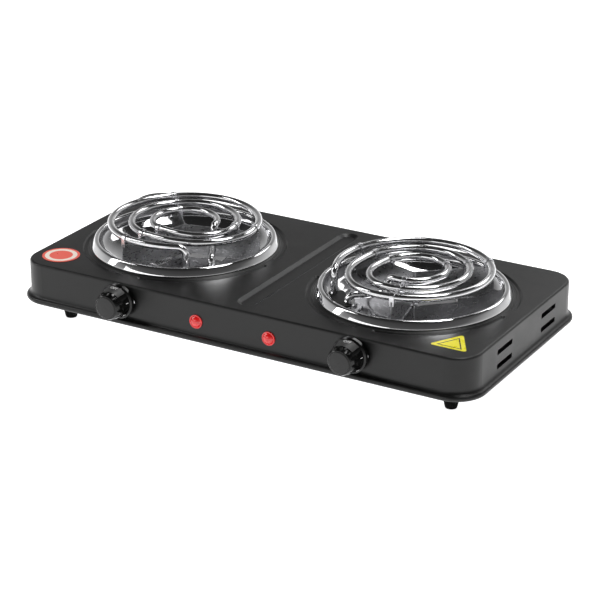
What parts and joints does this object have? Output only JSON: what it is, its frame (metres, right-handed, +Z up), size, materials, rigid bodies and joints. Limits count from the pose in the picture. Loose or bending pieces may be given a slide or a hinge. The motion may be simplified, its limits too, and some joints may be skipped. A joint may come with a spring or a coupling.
{
  "type": "electric hot plate",
  "caption": "Portable electric hot plate with spiral sheathed coils over polished drip bowls, a dark pressed-steel case, turning knobs with pilot lamps, and rubber feet.",
  "frame": {"origin": "centre of the overall bounding box in plan, at the underside of the rubber feet", "axes": "+Z up, +X along the long side to the user's right, -Y towards the user and the knobs"},
  "size_m": [0.457, 0.248, 0.0866],
  "materials": {
    "case_paint": "satin charcoal",
    "zinc_sheet": "plain zinc-plated",
    "screw_steel": "bright zinc",
    "foot_rubber": "matt black",
    "chrome_ring": "polished",
    "chrome_bowl": "polished, faintly spun",
    "coil_sheath": "bright nickel-alloy tube",
    "spider_steel": "satin stainless strip",
    "clip_steel": "bright",
    "clamp_steel": "dark",
    "ceramic": "unglazed steatite",
    "terminal_plating": "tin-plated",
    "knob_plastic": "gloss black",
    "cap_satin": "satin dark grey",
    "spindle_brass": "turned",
    "contact_bronze": "spring bronze",
    "lens_red": "clear red",
    "lamp_glass": "clear",
    "block_plastic": "natural",
    "gland_plastic": "black",
    "wire_brown": "insulation",
    "wire_blue": "insulation",
    "label_red": "printed film",
    "label_yellow": "printed film"
  },
  "bodies": {
    "chassis": {"deck_shell": "case_paint", "base_plate": "zinc_sheet", "base_screws": "screw_steel", "front_left_foot": "foot_rubber", "front_right_foot": "foot_rubber", "rear_left_foot": "foot_rubber", "rear_right_foot": "foot_rubber", "foot_screws": "screw_steel", "foot_nuts": "screw_steel", "left_trim_ring": "chrome_ring", "right_trim_ring": "chrome_ring", "left_drip_bowl": "chrome_bowl", "right_drip_bowl": "chrome_bowl", "left_coil": "coil_sheath", "right_coil": "coil_sheath", "left_coil_spider": "spider_steel", "right_coil_spider": "spider_steel", "left_coil_clips": "clip_steel", "right_coil_clips": "clip_steel", "left_leg_clamp": "clamp_steel", "right_leg_clamp": "clamp_steel", "left_insulators": "ceramic", "right_insulators": "ceramic", "left_terminal_tabs": "terminal_plating", "right_terminal_tabs": "terminal_plating", "left_bowl_bracket": "zinc_sheet", "right_bowl_bracket": "zinc_sheet", "bowl_screws": "screw_steel", "left_thermostat_bracket": "zinc_sheet", "right_thermostat_bracket": "zinc_sheet", "left_thermostat_base": "ceramic", "right_thermostat_base": "ceramic", "left_contact_blades": "contact_bronze", "right_contact_blades": "contact_bronze", "thermostat_screws": "screw_steel", "left_pilot_lens": "lens_red", "right_pilot_lens": "lens_red", "left_neon_lamp": "lamp_glass", "right_neon_lamp": "lamp_glass", "lens_retainers": "screw_steel", "terminal_block": "block_plastic", "earth_screw": "screw_steel", "cord_gland": "gland_plastic", "gland_nut": "gland_plastic", "left_live_wire": "wire_brown", "right_live_wire": "wire_brown", "neutral_wire": "wire_blue", "round_label": "label_red", "triangle_label": "label_yellow"},
    "left_control": {"left_knob": "knob_plastic", "left_knob_cap": "cap_satin", "left_spindle": "spindle_brass"},
    "right_control": {"right_knob": "knob_plastic", "right_knob_cap": "cap_satin", "right_spindle": "spindle_brass"},
    "left_switch_pin": {"left_plunger": "ceramic"},
    "right_switch_pin": {"right_plunger": "ceramic"}
  },
  "joints": [
    {"name": "left_knob_turn", "type": "hinge", "parent": "chassis", "child": "left_control", "pos_m": [-0.1146, -0.1, 0.045], "axis": [0, 1, 0], "range_deg": [0, 285]},
    {"name": "left_switch_slide", "type": "slide", "parent": "chassis", "child": "left_switch_pin", "axis": [0, 1, 0], "range_m": [0, 0.00065]},
    {"name": "right_knob_turn", "type": "hinge", "parent": "chassis", "child": "right_control", "pos_m": [0.117, -0.1, 0.045], "axis": [0, 1, 0], "range_deg": [0, 285]},
    {"name": "right_switch_slide", "type": "slide", "parent": "chassis", "child": "right_switch_pin", "axis": [0, 1, 0], "range_m": [0, 0.00065]}
  ],
  "couplings": [
    {"joint": "left_switch_slide", "follows": "left_knob_turn", "m_per_rad": 0.00012062},
    {"joint": "right_switch_slide", "follows": "right_knob_turn", "m_per_rad": 0.00012062}
  ]
}
